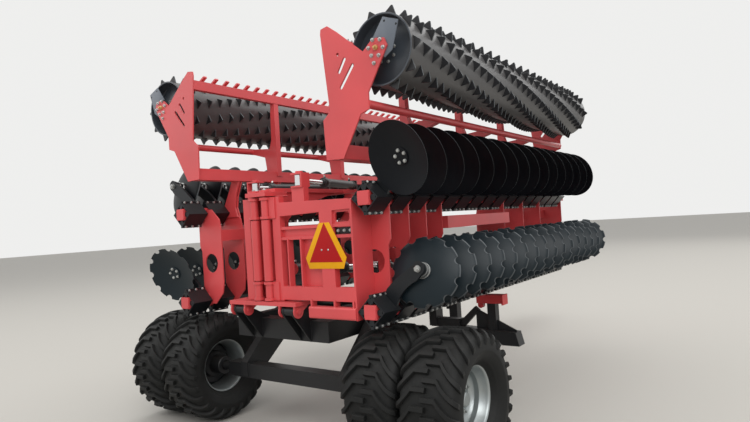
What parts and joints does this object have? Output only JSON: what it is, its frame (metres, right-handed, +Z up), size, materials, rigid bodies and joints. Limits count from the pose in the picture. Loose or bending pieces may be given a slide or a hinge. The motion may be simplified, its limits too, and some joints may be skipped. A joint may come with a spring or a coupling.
{
  "type": "disc harrow",
  "caption": "Trailed folding disc harrow in road position: two wings with plain and notched discs and toothed packer drums, on dual wheels.",
  "frame": {"origin": "middle of the whole machine's box, on the ground", "axes": "+X to the machine's right, +Y forward along the drawbar to the hitch eye, +Z up"},
  "size_m": [3.37, 6.2484, 3.138],
  "materials": {
    "frame_red": "satin coral red paint",
    "frame_black": "satin black paint",
    "clamp_black": "satin blue-black paint",
    "disc_blue_black": "satin dark blue-grey paint",
    "drum_grey": "matt dark grey paint",
    "tyre_rubber": "matt, slightly dusty",
    "galvanised": "galvanised, dull silver",
    "ram_chrome": "polished chrome",
    "ram_black": "satin black paint",
    "hitch_cast": "dark cast steel",
    "jack_zinc": "zinc plated",
    "warning_red": "red reflector with a yellow border"
  },
  "bodies": {
    "chassis": {"drawbar": "frame_red", "hitch_eye": "hitch_cast", "main_frame": "frame_red", "wing_rests": "frame_black", "jack_tube": "frame_red"},
    "jack": {"jack_leg": "jack_zinc"},
    "axle": {"axle_frame": "frame_black"},
    "wheels_left": {"tyre_left_inner": "tyre_rubber", "tyre_left_outer": "tyre_rubber", "rims_left": "galvanised"},
    "wheels_right": {"tyre_right_inner": "tyre_rubber", "tyre_right_outer": "tyre_rubber", "rims_right": "galvanised"},
    "tower": {"hinge_tower": "frame_red"},
    "wing_right": {"right_panel": "frame_red", "right_beams": "frame_red", "right_rear_clamps": "clamp_black", "right_rear_arms": "clamp_black", "right_rear_discs": "disc_blue_black", "right_front_clamps": "clamp_black", "right_front_arms": "clamp_black", "right_front_discs": "disc_blue_black", "right_roller_frame": "frame_red", "right_scrapers": "frame_red", "warning_triangle": "warning_red"},
    "wing_left": {"left_panel": "frame_red", "left_beams": "frame_red", "left_rear_clamps": "clamp_black", "left_rear_arms": "clamp_black", "left_rear_discs": "disc_blue_black", "left_front_clamps": "clamp_black", "left_front_arms": "clamp_black", "left_front_discs": "disc_blue_black", "left_roller_frame": "frame_red", "left_scrapers": "frame_red"},
    "drum_right": {"right_roller": "drum_grey"},
    "drum_left": {"left_roller": "drum_grey"},
    "tilt_ram_barrel": {"tilt_barrel": "ram_black"},
    "tilt_ram_rod": {"tilt_rod": "ram_chrome"},
    "lift_ram_barrels": {"lift_barrels": "ram_black"},
    "lift_ram_rods": {"lift_rods": "ram_chrome"},
    "fold_ram_barrel_right": {"fold_barrel_right": "ram_black"},
    "fold_ram_rod_right": {"fold_rod_right": "ram_chrome"},
    "fold_ram_barrel_left": {"fold_barrel_left": "ram_black"},
    "fold_ram_rod_left": {"fold_rod_left": "ram_chrome"}
  },
  "joints": [
    {"name": "axle_lift", "type": "hinge", "parent": "chassis", "child": "axle", "pos_m": [0, -1.95075, 1], "axis": [1, 0, 0], "range_deg": [0, 53]},
    {"name": "wheels_left_turn", "type": "hinge", "parent": "axle", "child": "wheels_left", "pos_m": [0, -2.65075, 0.4735], "axis": [1, 0, 0], "continuous": true},
    {"name": "wheels_right_turn", "type": "hinge", "parent": "axle", "child": "wheels_right", "pos_m": [0, -2.65075, 0.4735], "axis": [1, 0, 0], "continuous": true},
    {"name": "frame_tilt", "type": "hinge", "parent": "chassis", "child": "tower", "pos_m": [0, -2.95075, 1.055], "axis": [1, 0, 0], "range_deg": [0, 90]},
    {"name": "wing_right_fold", "type": "hinge", "parent": "tower", "child": "wing_right", "pos_m": [0.06, -2.95075, 1.5], "axis": [0, 0, -1], "range_deg": [0, 90]},
    {"name": "wing_left_fold", "type": "hinge", "parent": "tower", "child": "wing_left", "pos_m": [-0.06, -2.95075, 1.5], "axis": [0, 0, 1], "range_deg": [0, 90]},
    {"name": "drum_right_turn", "type": "hinge", "parent": "wing_right", "child": "drum_right", "pos_m": [1.197, -2.65075, 2.835], "axis": [0, 1, 0], "continuous": true},
    {"name": "drum_left_turn", "type": "hinge", "parent": "wing_left", "child": "drum_left", "pos_m": [-1.197, -2.65075, 2.835], "axis": [0, 1, 0], "continuous": true},
    {"name": "jack_slide", "type": "slide", "parent": "chassis", "child": "jack", "axis": [0, 0, 1], "range_m": [0, 0.35]},
    {"name": "tilt_ram_swing", "type": "hinge", "parent": "tower", "child": "tilt_ram_barrel", "pos_m": [0, -2.68075, 1.345], "axis": [1, 0, 0], "range_deg": [-88.25, 0]},
    {"name": "tilt_ram_stroke", "type": "slide", "parent": "tilt_ram_barrel", "child": "tilt_ram_rod", "axis": [0, 0.9973, -0.073], "range_m": [0, 0.5601]},
    {"name": "lift_ram_swing", "type": "hinge", "parent": "chassis", "child": "lift_ram_barrels", "pos_m": [0, -1.00075, 1.15], "axis": [1, 0, 0], "range_deg": [0, 6.18]},
    {"name": "lift_ram_stroke", "type": "slide", "parent": "lift_ram_barrels", "child": "lift_ram_rods", "axis": [0, -0.9864, 0.1644], "range_m": [0, 0.2512]},
    {"name": "fold_ram_right_swing", "type": "hinge", "parent": "tower", "child": "fold_ram_barrel_right", "pos_m": [0.16, -1.95075, 2.03], "axis": [0, 0, -1], "range_deg": [0, 16.86]},
    {"name": "fold_ram_right_stroke", "type": "slide", "parent": "fold_ram_barrel_right", "child": "fold_ram_rod_right", "axis": [0.2421, -0.9703, 0], "range_m": [0, 0.3519]},
    {"name": "fold_ram_left_swing", "type": "hinge", "parent": "tower", "child": "fold_ram_barrel_left", "pos_m": [-0.16, -1.95075, 2.03], "axis": [0, 0, 1], "range_deg": [0, 2.87]},
    {"name": "fold_ram_left_stroke", "type": "slide", "parent": "fold_ram_barrel_left", "child": "fold_ram_rod_left", "axis": [-0.1546, -0.988, 0], "range_m": [0, 0.4529]}
  ],
  "couplings": [
    {"joint": "tilt_ram_swing", "follows": "frame_tilt", "ratio": -0.97838},
    {"joint": "tilt_ram_stroke", "follows": "frame_tilt", "m_per_rad": 0.35528},
    {"joint": "lift_ram_swing", "follows": "axle_lift", "ratio": 0.11291},
    {"joint": "lift_ram_stroke", "follows": "axle_lift", "m_per_rad": 0.26943},
    {"joint": "fold_ram_right_swing", "follows": "wing_right_fold", "ratio": 0.18508},
    {"joint": "fold_ram_right_stroke", "follows": "wing_right_fold", "m_per_rad": 0.22278},
    {"joint": "fold_ram_left_swing", "follows": "wing_left_fold", "ratio": 0.02967},
    {"joint": "fold_ram_left_stroke", "follows": "wing_left_fold", "m_per_rad": 0.28705}
  ]
}
